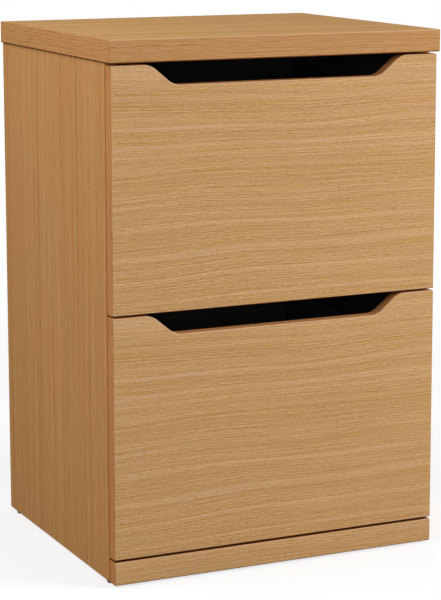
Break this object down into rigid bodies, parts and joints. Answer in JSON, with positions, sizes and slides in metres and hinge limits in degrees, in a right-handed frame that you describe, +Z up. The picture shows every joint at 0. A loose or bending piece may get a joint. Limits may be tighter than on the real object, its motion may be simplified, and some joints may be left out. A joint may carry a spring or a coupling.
{
  "type": "vertical filing cabinet",
  "caption": "Oak-effect vertical filing cabinet with deep drawers on telescopic ball slides, finger cut-outs in the drawer fronts and rails inside for suspension files.",
  "frame": {"origin": "on the floor, under the middle of the top panel", "axes": "+Z up, the drawers open towards -Y, +X to the right seen from the front"},
  "size_m": [0.478, 0.41, 0.713],
  "materials": {
    "oak_board": "satin oak-effect foil with grain",
    "black_board": "matt black melamine",
    "hardboard": "plain brown hardboard",
    "slide_steel": "bright zinc plating",
    "cage_steel": "bright rolled steel",
    "rail_metal": "satin grey",
    "cam_zinc": "die-cast zinc",
    "glide_plastic": "dark grey moulded plastic",
    "lever_plastic": "black moulded plastic"
  },
  "bodies": {
    "carcass": {"top_panel": "oak_board", "left_side_panel": "oak_board", "right_side_panel": "oak_board", "base_panel": "oak_board", "back_panel": "hardboard", "plinth_panel": "oak_board", "front_left_glide": "glide_plastic", "front_right_glide": "glide_plastic", "rear_left_glide": "glide_plastic", "rear_right_glide": "glide_plastic", "front_left_top_cam": "cam_zinc", "front_right_top_cam": "cam_zinc", "rear_left_top_cam": "cam_zinc", "rear_right_top_cam": "cam_zinc", "front_left_base_cam": "cam_zinc", "front_right_base_cam": "cam_zinc", "rear_left_base_cam": "cam_zinc", "rear_right_base_cam": "cam_zinc", "upper_left_cabinet_member": "slide_steel", "upper_right_cabinet_member": "slide_steel", "lower_left_cabinet_member": "slide_steel", "lower_right_cabinet_member": "slide_steel"},
    "upper_drawer": {"upper_drawer_front": "oak_board", "upper_drawer_left_side": "black_board", "upper_drawer_right_side": "black_board", "upper_drawer_back": "black_board", "upper_drawer_bottom": "black_board", "upper_left_file_rail": "rail_metal", "upper_right_file_rail": "rail_metal", "upper_left_drawer_member": "slide_steel", "upper_right_drawer_member": "slide_steel", "upper_left_release_lever": "lever_plastic", "upper_right_release_lever": "lever_plastic"},
    "upper_slide_middles": {"upper_left_middle_member": "slide_steel", "upper_right_middle_member": "slide_steel"},
    "upper_outer_cages": {"upper_left_outer_cage": "cage_steel", "upper_right_outer_cage": "cage_steel"},
    "upper_inner_cages": {"upper_left_inner_cage": "cage_steel", "upper_right_inner_cage": "cage_steel"},
    "lower_drawer": {"lower_drawer_front": "oak_board", "lower_drawer_left_side": "black_board", "lower_drawer_right_side": "black_board", "lower_drawer_back": "black_board", "lower_drawer_bottom": "black_board", "lower_left_file_rail": "rail_metal", "lower_right_file_rail": "rail_metal", "lower_left_drawer_member": "slide_steel", "lower_right_drawer_member": "slide_steel", "lower_left_release_lever": "lever_plastic", "lower_right_release_lever": "lever_plastic"},
    "lower_slide_middles": {"lower_left_middle_member": "slide_steel", "lower_right_middle_member": "slide_steel"},
    "lower_outer_cages": {"lower_left_outer_cage": "cage_steel", "lower_right_outer_cage": "cage_steel"},
    "lower_inner_cages": {"lower_left_inner_cage": "cage_steel", "lower_right_inner_cage": "cage_steel"}
  },
  "joints": [
    {"name": "upper_drawer_slide", "type": "slide", "parent": "carcass", "child": "upper_drawer", "axis": [0, -1, 0], "range_m": [0, 0.35]},
    {"name": "upper_middle_slide", "type": "slide", "parent": "carcass", "child": "upper_slide_middles", "axis": [0, -1, 0], "range_m": [0, 0.175]},
    {"name": "upper_outer_cage_roll", "type": "slide", "parent": "carcass", "child": "upper_outer_cages", "axis": [0, -1, 0], "range_m": [0, 0.0875]},
    {"name": "upper_inner_cage_roll", "type": "slide", "parent": "carcass", "child": "upper_inner_cages", "axis": [0, -1, 0], "range_m": [0, 0.2625]},
    {"name": "lower_drawer_slide", "type": "slide", "parent": "carcass", "child": "lower_drawer", "axis": [0, -1, 0], "range_m": [0, 0.35]},
    {"name": "lower_middle_slide", "type": "slide", "parent": "carcass", "child": "lower_slide_middles", "axis": [0, -1, 0], "range_m": [0, 0.175]},
    {"name": "lower_outer_cage_roll", "type": "slide", "parent": "carcass", "child": "lower_outer_cages", "axis": [0, -1, 0], "range_m": [0, 0.0875]},
    {"name": "lower_inner_cage_roll", "type": "slide", "parent": "carcass", "child": "lower_inner_cages", "axis": [0, -1, 0], "range_m": [0, 0.2625]}
  ],
  "couplings": [
    {"joint": "upper_middle_slide", "follows": "upper_drawer_slide", "ratio": 0.5},
    {"joint": "upper_outer_cage_roll", "follows": "upper_drawer_slide", "ratio": 0.25},
    {"joint": "upper_inner_cage_roll", "follows": "upper_drawer_slide", "ratio": 0.75},
    {"joint": "lower_middle_slide", "follows": "lower_drawer_slide", "ratio": 0.5},
    {"joint": "lower_outer_cage_roll", "follows": "lower_drawer_slide", "ratio": 0.25},
    {"joint": "lower_inner_cage_roll", "follows": "lower_drawer_slide", "ratio": 0.75}
  ]
}
